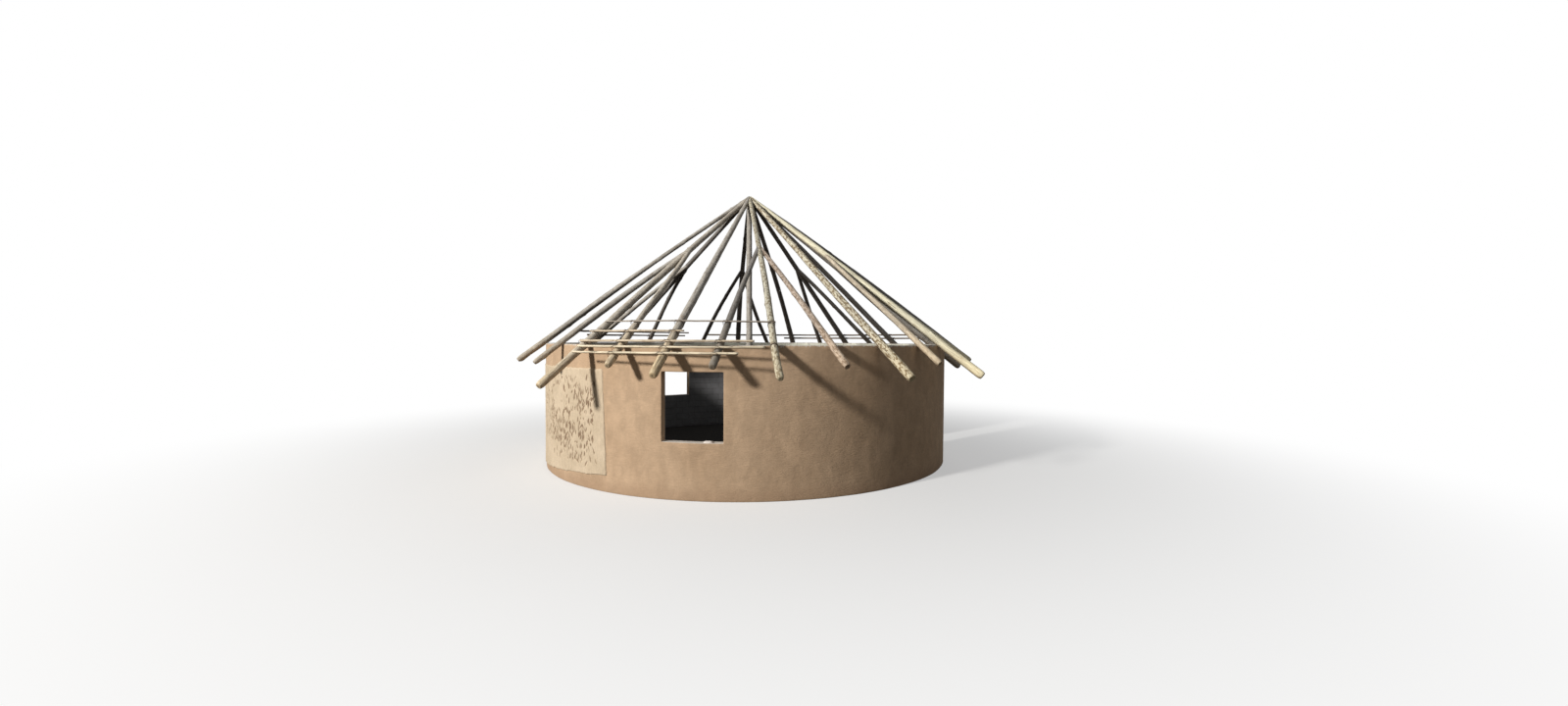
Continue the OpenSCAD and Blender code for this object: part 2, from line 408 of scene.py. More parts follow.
def pole_material():
    """Peeled natural poles. The grain runs along X of the attribute grain, tone is a pole's colour."""
    s = Shader("pole_wood")
    grain = s.attribute("grain")
    tone = s.attribute("tone")
    fibre = s.noise(s.scaled(grain, (1, 22, 22)), 3.2, 6, 0.68)
    streak = s.noise(s.scaled(grain, (1, 9, 9)), 1.6, 4, 0.6, 0.6)
    blotch = s.noise(s.scaled(grain, (1, 3.0, 3.0)), 5.5, 4, 0.62, 0.5)
    bark = s.noise(s.scaled(grain, (1, 2.6, 2.6)), 3.0, 5, 0.68)
    checks = s.noise(s.scaled(grain, (1, 30, 30)), 1.5, 2, 0.5)
    fleck = s.noise(s.scaled(grain, (1, 2.2, 2.2)), 13, 3, 0.6, 0.3)
    colour = s.shade(s.shade(tone, streak, 0.80, 1.16), fibre, 0.72, 1.22)
    colour = s.mix(s.ramp(blotch, 0.34, 0.47, 0.4, 0), colour, s.scaled(tone, (1.2, 1.19, 1.16)))
    colour = s.mix(s.ramp(blotch, 0.55, 0.68, 0, 0.6), colour, s.scaled(tone, (0.66, 0.57, 0.49)))
    flecks = s.times(s.ramp(fleck, 0.485, 0.555), s.attribute("spots", "Fac"))
    colour = s.mix(flecks, colour, s.scaled(tone, (0.36, 0.29, 0.22)))
    colour = s.mix(s.ramp(bark, 0.63, 0.70, 0, 0.75), colour, (0.17, 0.115, 0.075))
    # Painted shade: the colour is darker on what faces down, as if in the pole's own shade
    painted_underside_shade = s.ramp(s.facing_up(), -0.75, 0.05, 0.8, 0)
    colour = s.mix(painted_underside_shade, colour, s.scaled(colour, (0.48, 0.42, 0.38)))
    colour = s.mix(s.ramp(checks, 0.66, 0.72, 0, 0.8), colour, (0.07, 0.055, 0.045))
    knot = s.ramp(s.attribute("knot", "Fac"), 0.25, 0.9, 0, 0.85)
    colour = s.mix(knot, colour, (0.13, 0.085, 0.055))
    split = s.ramp(s.attribute("split", "Fac"), 0.3, 0.9, 0, 0.92)
    colour = s.mix(split, colour, (0.035, 0.028, 0.022))
    rough = s.bump(s.ramp(checks, 0.64, 0.74, 1, 0), 0.006, 0.8)
    rough = s.bump(bark, 0.006, 0.6, s.bump(fibre, 0.005, 0.8, rough))
    return s.finish(colour, 0.82, rough, 0.3)


def end_grain_material():
    """A sawn end: rings round the heart, saw marks, and the grey of weather."""
    s = Shader("end_grain")
    grain = s.attribute("grain")
    across = s.scaled(grain, (0, 1, 1))
    reach = s.length(across)
    wobble = s.times(s.noise(across, 14, 3, 0.6), 16)
    rings = s.math("SINE", s.add(s.times(reach, 760), wobble))
    saw = s.noise(s.scaled(grain, (1, 1, 8)), 60, 3, 0.6)
    colour = s.scaled(s.attribute("tone"), (0.82, 0.77, 0.70))
    colour = s.shade(colour, s.math("MULTIPLY_ADD", rings, 0.5), 0.80, 1.08)
    colour = s.shade(colour, saw, 0.85, 1.1)
    colour = s.mix(s.ramp(reach, 0.006, 0.03, 0.7, 0), colour, (0.10, 0.07, 0.05))
    return s.finish(colour, 0.85, s.bump(rings, 0.002, 0.5, s.bump(saw, 0.003, 0.6)), 0.25)


def twine_material():
    """Dark twisted twine."""
    s = Shader("binding_twine")
    fibre = s.noise(s.position(), 420, 3, 0.65)
    wear = s.ramp(s.noise(s.position(), 30, 3, 0.6), 0.4, 0.65)
    colour = s.mix(wear, (0.075, 0.055, 0.04), (0.17, 0.125, 0.085))
    return s.finish(s.shade(colour, fibre, 0.7, 1.3), 0.9, s.bump(fibre, 0.0015, 0.8))


def mortar_material():
    """The pale mortar dropped on the sill."""
    s = Shader("dropped_mortar")
    grit = s.noise(s.position(), 90, 3, 0.7)
    return s.finish(s.shade(MORTAR_DROPPING, grit, 0.85, 1.08), 0.95, s.bump(grit, 0.004, 0.8))


PLASTER = plaster_material()
COAT = coat_material()
DROPPED = mortar_material()
WOOD = [pole_material(), end_grain_material()]
TWINE = twine_material()


# Wall: a lattice of columns round the hut, rows up it and layers through it

WALL_STEP = 0.05
WALL_LAYERS = 4
WALL_STOPS = sorted({0.0, FOOTING_TOP, SILL_Z, WINDOW_TOP, DOOR_TOP, WALL_TOP})
ARRIS = 0.012
ARRIS_ANGLE = math.radians(50)
TOUCHING = 1e-4


def filled(stops, step):
    """The stops with even steps put between them."""
    out = []
    for a, b in zip(stops, stops[1:]):
        n = max(1, round((b - a) / step))
        out += [a + (b - a) * i / n for i in range(n)]
    return np.array(out + [stops[-1]])


def jamb_azimuths(radius):
    """Azimuths of the openings' jambs on a face of that radius, once round to the first again."""
    stops = []
    for middle, width, _, _ in OPENINGS:
        half = math.asin(width / 2 / radius)
        stops += [(middle - half) % math.tau, (middle + half) % math.tau]
    stops = sorted(stops)
    return stops + [stops[0] + math.tau]


def wall_lattice(z_from, z_to):
    """Points, quads and each point's depth in the wall between two heights, less the openings."""
    outer_stops = jamb_azimuths(WALL_R)
    inner_stops = jamb_azimuths(ROOM_R)
    outer, inner = [], []
    for a, b, c, d in zip(outer_stops, outer_stops[1:], inner_stops, inner_stops[1:]):
        n = max(2, round((b - a) * WALL_R / WALL_STEP))
        outer += [a + (b - a) * i / n for i in range(n)]
        inner += [c + (d - c) * i / n for i in range(n)]
    outer, inner = np.array(outer), np.array(inner)
    rows = filled([z for z in WALL_STOPS if z_from - TOUCHING <= z <= z_to + TOUCHING], WALL_STEP)
    layers = np.linspace(0, 1, WALL_LAYERS + 1)
    columns, levels = len(outer), len(rows)
    shape = (columns, levels, len(layers))
    angle = outer[:, None, None] + (inner - outer)[:, None, None] * layers
    radius = WALL_R + (ROOM_R - WALL_R) * layers
    points = front_point(angle, radius, rows[None, :, None]).reshape(-1, 3)
    middle_angle = (outer + np.append(outer[1:], outer[0] + math.tau)) / 2
    middle_row = (rows[1:] + rows[:-1]) / 2
    solid = np.ones((columns, levels - 1), bool)
    for middle, width, low, high in OPENINGS:
        beside = np.abs(wrapped(middle_angle - middle)) < math.asin(width / 2 / WALL_R)
        solid &= ~(beside[:, None] & ((middle_row > low) & (middle_row < high))[None, :])
    number = np.arange(len(points)).reshape(shape)
    after = np.roll(number, -1, 0)
    # Each side's corners: upper or lower row, this column or the next, and the layer
    low, high, low_after, high_after = number[:, :-1], number[:, 1:], after[:, :-1], after[:, 1:]
    above = np.zeros_like(solid)
    above[:, :-1] = solid[:, 1:]
    below = np.zeros_like(solid)
    below[:, 1:] = solid[:, :-1]
    last = WALL_LAYERS
    sides = [
        (low[..., 0], low_after[..., 0], high_after[..., 0], high[..., 0], solid),
        (low[..., last], high[..., last], high_after[..., last], low_after[..., last], solid),
    ]
    for k in range(last):
        m = k + 1
        sides += [
            (high[..., k], high_after[..., k], high_after[..., m], high[..., m], solid & ~above),
            (low[..., k], low[..., m], low_after[..., m], low_after[..., k], solid & ~below),
            (low_after[..., k], low_after[..., m], high_after[..., m], high_after[..., k],
             solid & ~np.roll(solid, -1, 0)),
            (low[..., k], high[..., k], high[..., m], low[..., m], solid & ~np.roll(solid, 1, 0)),
        ]
    quads = np.concatenate([np.stack([corner[where] for corner in corners], -1).reshape(-1, 4)
                            for *corners, where in sides])
    used = np.unique(quads)
    renumber = np.zeros(len(points), int)
    renumber[used] = np.arange(len(used))
    return points[used], renumber[quads].tolist(), np.broadcast_to(layers, shape).reshape(-1)[used]


def hand_worked(points, depth):
    """The wall's points with the slow waves of hand plastering, and an uneven top."""
    out = points.copy()
    radial = points[:, :2] / np.linalg.norm(points[:, :2], axis=1)[:, None]
    wave = 0.006 * noise(points, 0.9, 3) + 0.003 * noise(points, 0.28, 4)
    wave += 0.0012 * noise(points, 0.11, 5)
    outward = 0.5 + 0.5 * np.cos(math.pi * depth)
    out[:, :2] += radial * (wave * (0.4 + 0.6 * outward) - 0.004)[:, None]
    top = smoothstep(WALL_TOP - 0.08, WALL_TOP, points[:, 2])
    out[:, 2] += top * (0.004 * noise(points, 0.16, 6) + 0.004 * noise(points, 0.6, 7) - 0.007)
    jamb = smoothstep(FOOTING_TOP, FOOTING_TOP + 0.1, points[:, 2])
    out[:, 2] += (1 - top) * jamb * 0.003 * noise(points, 0.3, 8)
    return out


def on_hidden_joint(edge):
    """Whether an edge lies where the wall stands on the footing, and not in the doorway."""
    middle, width, _, _ = DOORWAY
    for vertex in edge.verts:
        off = abs(wrapped(azimuth_of(vertex.co) - middle)) * WALL_R
        if abs(vertex.co.z - FOOTING_TOP) > TOUCHING or off < width / 2 - 0.01:
            return False
    return True


def mark_arrises(mesh):
    """Marks the sharp edges for rounding, and keeps those of the hidden joint crisp."""
    marked = bmesh.new()
    marked.from_mesh(mesh)
    weight = marked.edges.layers.float.new("bevel_weight_edge")
    for edge in marked.edges:
        if edge.calc_face_angle(0) > ARRIS_ANGLE:
            hidden = on_hidden_joint(edge)
            edge[weight] = 0.0 if hidden else 1.0
            edge.smooth = not hidden
    marked.to_mesh(mesh)
    marked.free()


def add_wall_piece(name, z_from, z_to):
    points, quads, depth = wall_lattice(z_from, z_to)
    made = Mesh()
    made.add(hand_worked(points, depth), quads)
    piece = made.build(name, [PLASTER])
    mark_arrises(piece.data)
    soften = piece.modifiers.new("arris", "BEVEL")
    soften.width = ARRIS
    soften.segments = 3
    soften.limit_method = "WEIGHT"
    return piece


def add_wall():
    wall = add_wall_piece("plastered_wall", FOOTING_TOP, WALL_TOP)
    walls = [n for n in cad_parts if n.startswith("wall_")]
    panels = ["front_window_breast", "front_window_head", "back_window_breast",
              "back_window_head", "doorway_head"]
    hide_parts(*walls, *panels)
    footing = add_wall_piece("footing_ring", 0.0, FOOTING_TOP)
    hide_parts(*[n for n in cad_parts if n.startswith("footing_")])


LUMP_AZIMUTH = math.radians(-8.6)
LUMP_REACH = 4.69
LUMP_HALF = (0.085, 0.05, 0.036)
LUMP_SUNK = 0.012
LUMP_RINGS = 9
LUMP_SIDES = 20


def add_sill_mortar():
    """A flat lump of mortar left on the front window's sill, sunk a little into it."""
    tilt = np.linspace(-math.pi / 2, math.pi / 2, LUMP_RINGS)[1:-1]
    turn = np.linspace(0, math.tau, LUMP_SIDES, endpoint=False)
    tilt, turn = np.repeat(tilt, LUMP_SIDES), np.tile(turn, len(tilt))
    ball = np.stack([np.cos(tilt) * np.cos(turn), np.cos(tilt) * np.sin(turn), np.sin(tilt)], -1)
    ball = np.concatenate([ball, [(0, 0, -1), (0, 0, 1)]])
    lump = ball * LUMP_HALF * (1 + 0.22 * noise(ball, 0.7, 41) + 0.1 * noise(ball, 0.3, 42))[:, None]
    lump[:, 2] = np.maximum(lump[:, 2], -LUMP_SUNK)
    across = front_point(LUMP_AZIMUTH + math.pi / 2, 1)
    points = front_point(LUMP_AZIMUTH, LUMP_REACH, SILL_Z + 0.002) + np.outer(lump[:, 0], across)
    points -= np.outer(lump[:, 1], front_point(LUMP_AZIMUTH, 1))
    points[:, 2] += lump[:, 2]
    number, faces = ring_quads(LUMP_RINGS - 2, LUMP_SIDES)
    bottom, top = len(ball) - 2, len(ball) - 1
    faces += [(b, a, bottom) for a, b in zip(number[0].tolist(), np.roll(number[0], -1).tolist())]
    faces += [(a, b, top) for a, b in zip(number[-1].tolist(), np.roll(number[-1], -1).tolist())]
    made = Mesh()
    made.add(points, faces)
    made.build("sill_mortar", [DROPPED])


# Fresh coat of plaster

COAT_COLUMN = 0.0114
COAT_ROW = 0.0135
COAT_BACK = -0.02
COAT_LEAN = 0.018
COAT_CORNER = 0.09
# Shares of the coat's width between which its lower edge rises to the footing's top
COAT_RISE = (0.47, 0.98)
MARK_TRIES = 2300
MARK_HEIGHTS = (0.4, 2.1)
MARK_REACH = 0.16
# Where marks are torn into the coat: azimuths, heights and how many of the tries are kept.
# The last zone that holds a place counts.
MARK_ZONES = [
    (-1.60, -0.64, 0.72, 2.08, 0.60),
    (-1.60, -0.62, 0.46, 0.72, 0.50),
    (-0.76, -0.64, 1.38, 1.92, 1.00),
    (-1.00, -0.70, 0.76, 1.25, 0.95),
    (-0.98, -0.87, 1.43, 1.86, 0.06),
    (-0.80, -0.64, 1.92, 2.08, 0.15),
]


def marks_kept(azimuth, height):
    share = 0.0
    for left, right, low, high, kept in MARK_ZONES:
        if left < azimuth < right and low < height < high:
            share = kept
    return share


def torn_marks(azimuth, height):
    """How deep each place of the coat's lattice lies in one of the short torn marks, 0 to 1."""
    pick = np.random.default_rng(77)
    arc = azimuth * WALL_R
    depth = np.zeros_like(arc)
    for _ in range(MARK_TRIES):
        at = pick.uniform(azimuth.min(), azimuth.max()), pick.uniform(*MARK_HEIGHTS)
        half_long = pick.uniform(0.035, 0.105)
        half_wide = pick.uniform(0.014, 0.029)
        tilt = pick.normal(0.0, 0.32)
        strength = pick.uniform(0.6, 1.0)
        luck = pick.random()
        if luck > marks_kept(*at):
            continue
        middle = at[0] * WALL_R
        start, stop = np.searchsorted(arc[:, 0], (middle - MARK_REACH, middle + MARK_REACH))
        x = arc[start:stop] - middle
        y = height[start:stop] - at[1]
        along = (y * math.cos(tilt) + x * math.sin(tilt)) / half_long
        across = (x * math.cos(tilt) - y * math.sin(tilt)) / half_wide
        across = across + 0.5 * np.sin(2.2 * along + 40 * luck)
        mark = strength * smoothstep(1.0, 0.35, np.sqrt(along ** 2 + across ** 2))
        depth[start:stop] = np.maximum(depth[start:stop], mark)
    return depth


def coat_edges(arc, low, high):
    """Heights of the coat's ragged lower and upper edges, at distances from its left end."""
    span = arc[-1]
    seam = np.stack([arc, np.zeros_like(arc), np.zeros_like(arc)], -1)
    rise_from, rise_to = COAT_RISE[0] * span, COAT_RISE[1] * span
    bottom = low + (FOOTING_TOP - low) * np.clip((arc - rise_from) / (rise_to - rise_from), 0, 1)
    bottom = bottom + 0.012 * noise(seam, 0.12, 21) + 0.006 * noise(seam, 0.04, 22)
    near = np.clip(arc - (span - COAT_CORNER), 0, COAT_CORNER)
    top = high - COAT_CORNER + np.sqrt(np.maximum(COAT_CORNER ** 2 - near ** 2, 0))
    return bottom, top + 0.008 * noise(seam, 0.2, 23) - 0.004


def add_fresh_coat():
    """A closed shell whose outer face has trowel drags and torn pits, on the CAD coat's outline."""
    low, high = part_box("fresh_plaster_coat")
    points = node_points("fresh_plaster_coat")
    angles = np.array([azimuth_of(p) for p in points])
    left, right = angles.min(), angles.max()
    thick = np.hypot(points[:, 0], points[:, 1]).max() - WALL_R
    columns = round((right - left) * WALL_R / COAT_COLUMN)
    rows = round((high.z - low.z) / COAT_ROW)
    u = np.linspace(left, right, columns + 1)
    v = np.linspace(0, 1, rows + 1)
    arc = (u - left) * WALL_R
    span = arc[-1]
    bottom, top = coat_edges(arc, low.z, high.z)
    height = bottom[:, None] + (top - bottom)[:, None] * v[None, :]
    azimuth = u[:, None] + COAT_LEAN * (1 - v[None, :]) * (arc / span)[:, None] ** 2
    flat = np.stack([azimuth.ravel() * WALL_R, np.zeros(height.size), height.ravel()], -1)
    edge = np.minimum(height - bottom[:, None], 0.4 * (top[:, None] - height))
    edge = np.minimum(np.minimum((span - arc)[:, None], arc[:, None]), edge).ravel()
    body = smoothstep(-0.004, 0.018, edge + 0.006 * noise(flat, 0.05, 24))
    ragged = 0.5 + 0.5 * noise(flat / (1, 1, 2.4), 0.024, 31)
    pit = torn_marks(azimuth, height).ravel() * (0.7 + 0.5 * ragged)
    drag = 0.0018 * noise(flat / (1, 1, 5), 0.05, 34) + 0.0015 * noise(flat, 0.025, 35)
    radius = WALL_R + (thick + drag) * body - 0.010 * pit - 0.010 * (1 - body)
    front = front_point(azimuth.ravel(), radius, height.ravel())
    number = np.arange(len(front)).reshape(columns + 1, rows + 1)
    quads = np.stack([number[:-1, :-1], number[1:, :-1], number[1:, 1:], number[:-1, 1:]], -1)
    # The back is a strip from the lower to the upper edge, sunk into the wall
    back_radius = WALL_R + COAT_BACK
    back = np.stack([front_point(azimuth[:, 0], back_radius, bottom),
                     front_point(azimuth[:, -1], back_radius, top)], 1).reshape(-1, 3)
    faces = quads.reshape(-1, 4).tolist()
    number = number.tolist()
    first = len(front)
    for i in range(columns):
        low_a = first + 2 * i
        high_a, low_b, high_b = low_a + 1, low_a + 2, low_a + 3
        faces += [(low_a, high_a, high_b, low_b), (low_a, low_b, number[i + 1][0], number[i][0]),
                  (high_b, high_a, number[i][-1], number[i + 1][-1])]
    last = first + 2 * columns
    faces += [(first, *number[0], first + 1), (last + 1, *number[columns][::-1], last)]
    made = Mesh()
    made.add(np.concatenate([front, back]), faces, pit=np.concatenate([pit, np.zeros(len(back))]))
    piece = made.build("fresh_coat", [COAT])
    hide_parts("fresh_plaster_coat")


# Poles

MAIN_HEAD_RADIUS = 0.05
JACK_HEAD_RADIUS = 0.0475
RING_STEP = 0.05
SPLITS = 2
SPLIT_HALF_WIDTH = 0.004
SPLIT_DEPTH = 0.014
KNOT_HEIGHT = 0.011
END_ROUNDING = 0.012
# The rings of a sawn end, from the rim in: share of the radius, and how far each stands out
END_RINGS = ((0.86, 0.010), (0.5, 0.011), (0.0, 0.009))
CAP_ROOM = 0.014
MITRE_GAP = 0.001
# How far along the wood of one pole lies from the next one's
GRAIN_SHIFT = 7.3
# Shares of a pole's length, from the foot, at which its girth factors hold
GIRTH_AT = (0, 0.45, 1)
# Painted light: how much paler and warmer the overhanging feet are made, as if lit from the ground
# below, and from how far up to how near the end
FOOT_PAINTED_LIGHT = (0.14, 0.08, -0.02)
FOOT_LIGHT_FROM = 1.5
FOOT_LIGHT_FULL = 0.2


def foot_cuts(node):
    """Each pole's foot on a rafter node, the thickest first: (centre, direction up it, radius)."""
    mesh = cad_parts[node].data
    groups = []
    for face in mesh.polygons:
        n, c = face.normal, face.center
        outward = (n.x * c.x + n.y * c.y) / math.hypot(c.x, c.y)
        if n.z > -0.3 or outward < 0.5:
            continue
        for group in groups:
            if (c - group[0]).length < 0.2 and n.dot(group[1]) > 0.999:
                group[2].update(face.vertices)
                break
        else:
            groups.append((c.copy(), n.copy(), set(face.vertices)))
    cuts = []
    for _, n, members in groups:
        rim = np.array([mesh.vertices[i].co for i in members])
        up_the_pole = -unit(n)
        side = unit(np.cross(up_the_pole, (0, 0, 1)))
        other = np.cross(side, up_the_pole)
        x, y = rim @ side, rim @ other
        terms = np.stack([2 * x, 2 * y, np.ones_like(x)], -1)
        fit, *_ = np.linalg.lstsq(terms, x * x + y * y, rcond=None)
        radius = math.sqrt(fit[2] + fit[0] ** 2 + fit[1] ** 2)
        centre = side * fit[0] + other * fit[1] + up_the_pole * float(np.mean(rim @ up_the_pole))
        cuts.append((centre, up_the_pole, radius))
    return sorted(cuts, key=lambda cut: -cut[2])


class Pole:
    """A natural pole from its foot to its head, slightly bowed, with knots and drying splits.

    bow is how far its middle lies to the left, looking up the pole, and upwards. toe is the same
    for its foot, out past the seat, which is given as a share of the length.
    """

    def __init__(self, foot, head, foot_radius, head_radius, seed, bow=(0, 0), toe=(0, 0), seat=0.0,
                 tone=WEATHERED, spots=0.3, warm=1.0, girth=(1, 1, 1), sides=18, knots=9, hollow=0.0):
        self.foot, self.head = np.asarray(foot, float), np.asarray(head, float)
        self.radii = foot_radius, head_radius
        self.seed = seed
        self.bow, self.toe, self.seat = bow, toe, seat
        self.tone, self.spots, self.warm, self.girth = tone, spots, warm, girth
        self.sides, self.hollow = sides, hollow
        self.length = float(np.linalg.norm(self.head - self.foot))
        self.axis = (self.head - self.foot) / self.length
        self.side = unit(np.cross((0, 0, 1), self.axis))
        self.over = np.cross(self.axis, self.side)
        pick = np.random.default_rng(seed)
        self.knots = [(pick.uniform(0.05, 0.97) * self.length, pick.uniform(0, math.tau),
                       pick.uniform(0.022, 0.038)) for _ in range(knots)]
        self.splits = [(pick.uniform(0.0, 0.8) * self.length, pick.uniform(0.5, 1.8))
                       for _ in range(SPLITS)]
        self.twist = pick.uniform(-0.12, 0.12)
        pick = np.random.default_rng(seed + 1000)
        self.kick = pick.uniform(-0.03, 0.03), pick.uniform(-0.015, 0.015)

    def bend(self, along):
        """How far the pole's heart lies off the straight line, at a distance from its foot."""
        share = np.asarray(along, float) / self.length
        span = (share - self.seat) / (1 - self.seat)
        wave = np.sin(math.pi * span)
        double_wave = 0.3 * np.sin(math.tau * span)
        end = np.clip(1 - share / max(self.seat, 0.01), 0, 1) ** 2
        sideways, upward = [bow * wave + kick * double_wave + toe * end
                            for bow, kick, toe in zip(self.bow, self.kick, self.toe)]
        return np.multiply.outer(sideways, self.side) + np.multiply.outer(upward, self.over)

    def heart(self, along):
        return self.foot + np.multiply.outer(along, self.axis) + self.bend(along)

    def radius(self, along):
        share = np.asarray(along, float) / self.length
        taper = self.radii[0] + (self.radii[1] - self.radii[0]) * share
        return taper * np.interp(share, GIRTH_AT, self.girth)

    def spokes(self, angle):
        """Directions straight out from the pole's heart."""
        return np.cos(angle)[:, None] * self.side + np.sin(angle)[:, None] * self.over

    def column_angles(self):
        """Angles round the pole, with three close ones at each split, and which split each is in."""
        angles, marks = [], []
        step = math.tau / self.sides
        where = [int((k + 0.35) * self.sides / SPLITS) for k in range(SPLITS)]
        half = SPLIT_HALF_WIDTH / self.radii[0]
        for i in range(self.sides):
            angles.append(i * step)
            marks.append(-1)
            if i in where:
                middle = (i + 0.5) * step
                angles += [middle - half, middle, middle + half]
                marks += [-1, where.index(i), -1]
        return np.array(angles), marks

    def skin(self, along, angles, marks):
        """The skin's points, and the grain, knot and split values at them."""
        rings, columns = len(along), len(angles)
        s = np.repeat(along, columns)
        turn = np.tile(angles, rings) + self.twist * s
        base = np.repeat(self.radius(along), columns)
        ring = np.stack([s, np.cos(turn) * 0.5, np.sin(turn) * 0.5 + self.seed], -1)
        swell = 0.045 * noise(ring, 0.55, self.seed)
        swell += 0.03 * noise(ring / (0.5, 1, 1), 0.3, self.seed + 1)
        swell += 0.02 * noise(ring / (0.35, 0.5, 0.5), 0.2, self.seed + 2)
        r = base * (1 + swell)
        knot = np.zeros_like(r)
        for at, angle, size in self.knots:
            around = wrapped(turn - angle) * base
            r += KNOT_HEIGHT * np.exp(-((s - at) / (size * 1.5)) ** 2 - (around / size) ** 2)
            core = np.exp(-((s - at) / (size * 0.62)) ** 2 - (around / (size * 0.5)) ** 2)
            knot = np.maximum(knot, core)
        split = np.zeros_like(r)
        for k, (start, long) in enumerate(self.splits):
            here = np.tile([m == k for m in marks], rings)
            stop = start + long
            gape = smoothstep(start, start + 0.15, s) * (1 - smoothstep(stop - 0.2, stop, s))
            split = np.maximum(split, np.where(here, gape, 0))
            r -= np.where(here, SPLIT_DEPTH * gape, 0)
        at_end = (s < 1e-9) | (s > self.length - 1e-9)
        heart = np.repeat(self.heart(along), columns, axis=0)
        points = heart + self.spokes(turn) * (r - np.where(at_end, END_ROUNDING, 0))[:, None]
        grain = np.stack([s + GRAIN_SHIFT * self.seed, r * np.cos(turn), r * np.sin(turn)], -1)
        return points, grain, knot, split

    def add_to(self, mesh, shape=None, head_cap=True):
        """Adds the skin and the sawn ends to a mesh. shape moves the finished points."""
        n = max(6, round(self.length / RING_STEP))
        along = np.linspace(0, self.length, n + 1)
        angles, marks = self.column_angles()
        columns = len(angles)
        points, grain, knot, split = self.skin(along, angles, marks)
        number, faces = ring_quads(n + 1, columns, flip=True)
        slots = [0] * len(faces)
        points, grain = [points], [grain]
        total = (n + 1) * columns
        for ring, way in [(0, -1.0), (n, 1.0)] if head_cap else [(0, -1.0)]:
            rim = number[ring]
            at = along[ring]
            angle = angles + self.twist * at
            reach = self.radius(at) - END_ROUNDING
            for share, dip in END_RINGS:
                count = columns if share else 1
                dip -= self.hollow if way < 0 and share <= 0.5 else 0
                place = self.heart(at) + self.spokes(angle) * reach * share + self.axis * way * dip
                place = place[:count]
                bumpy = 0.002 * noise(place, 0.03, self.seed + 5)
                points.append(place + np.multiply.outer(bumpy, self.axis))
                grain.append(np.stack([np.full(count, at), reach * share * np.cos(angle[:count]),
                                       reach * share * np.sin(angle[:count])], -1))
                new = np.arange(total, total + count)
                total += count
                onward = np.roll(rim, -1)
                if share:
                    ends = np.stack([rim, new, np.roll(new, -1), onward], -1)
                else:
                    ends = np.stack([rim, np.full(columns, new[0]), onward], -1)
                faces += (ends if way > 0 else ends[:, ::-1]).tolist()
                slots += [1] * columns
                rim = new
        points, grain = np.concatenate(points), np.concatenate(grain)
        if shape:
            points = shape(points)
        # Painted light: the tone grows paler and warmer towards the foot
        foot_light_share = smoothstep(FOOT_LIGHT_FROM, FOOT_LIGHT_FULL, grain[:, 0] - GRAIN_SHIFT * self.seed)
        tone = self.tone * (1 + self.warm * np.outer(foot_light_share, FOOT_PAINTED_LIGHT))
        plain = np.zeros(total - len(knot))
        mesh.add(points, faces, slots, grain=grain, knot=np.concatenate([knot, plain]),
                 split=np.concatenate([split, plain]), tone=tone, spots=np.full(total, self.spots))


def mitre(azimuth, before, after):
    """Keeps a main rafter's head within its share of the apex, between two half-way planes."""
    along = front_point(azimuth, 1)[:2]
    across = front_point(azimuth + math.pi / 2, 1)[:2]
    low, high = math.tan(before), math.tan(after)
    tip = 2 * MITRE_GAP / (high - low)

    def shape(points):
        x = np.maximum(points[:, :2] @ along, tip * 1.5)
        y = np.clip(points[:, :2] @ across, (x - tip) * low, (x - tip) * high)
        out = points.copy()
        out[:, :2] = np.outer(x, along) + np.outer(y, across)
        return out
    return shape


def look(tone, sideways, upward, **more):
    return dict(tone=tone, bow=(sideways, upward), **more)


# What the photo shows of single poles: colour, bow and the rest of what a Pole takes. The dark grey of
# the rear rafters is painted shade. The others
#  are coloured and bowed by chance.
MAIN_LOOKS = {
    "fork_rafters_1": look(OLIVE_GREY, -0.029, 0.006, spots=0.8, girth=(0.78, 0.88, 1.0),
                           toe=(-0.032, 0.0)),
    "plain_rafter_1": look(MOTTLED, -0.004, 0.007, spots=1.0, hollow=0.05),
    "fork_rafters_2": look(FRESH, -0.003, 0.017, spots=0.1, girth=(1.05, 1.15, 1.1)),
    "plain_rafter_2": look(DARK_GREY_PAINTED_SHADE, 0.0, 0.045),
    "fork_rafters_3": look(WEATHERED, 0.0, 0.0),
    "plain_rafter_3": look(DARK_GREY_PAINTED_SHADE, 0.012, 0.021),
    "fork_rafters_4": look(DARK_GREY_PAINTED_SHADE, 0.0, 0.0),
    "plain_rafter_4": look(DARK_GREY_PAINTED_SHADE, 0.034, 0.013),
    "fork_rafters_5": look(DARK_GREY_PAINTED_SHADE, -0.041, 0.004),
    "plain_rafter_5": look(WEATHERED, 0.0, 0.0),
    "fork_rafters_6": look(DARK_GREY_PAINTED_SHADE, -0.008, 0.011),
    "plain_rafter_6": look(WEATHERED, 0.0, 0.015),
    "fork_rafters_7": look(WEATHERED, 0.0, 0.045, girth=(0.74, 0.73, 0.85), toe=(0.0, 0.03)),
    "plain_rafter_7": look(WEATHERED, 0.001, 0.035, girth=(0.75, 0.71, 0.85)),
    # The foot light of these two poles is painted light on their feet
    "fork_rafters_8": look(PALE_GREY, 0.006, 0.015, warm=2.0, girth=(0.86, 1.0, 1.05)),
    "plain_rafter_8": look(WEATHERED, 0.0, 0.0, warm=3.5, girth=(0.92, 1.05, 1.0),
                           toe=(0.0, -0.015)),
}
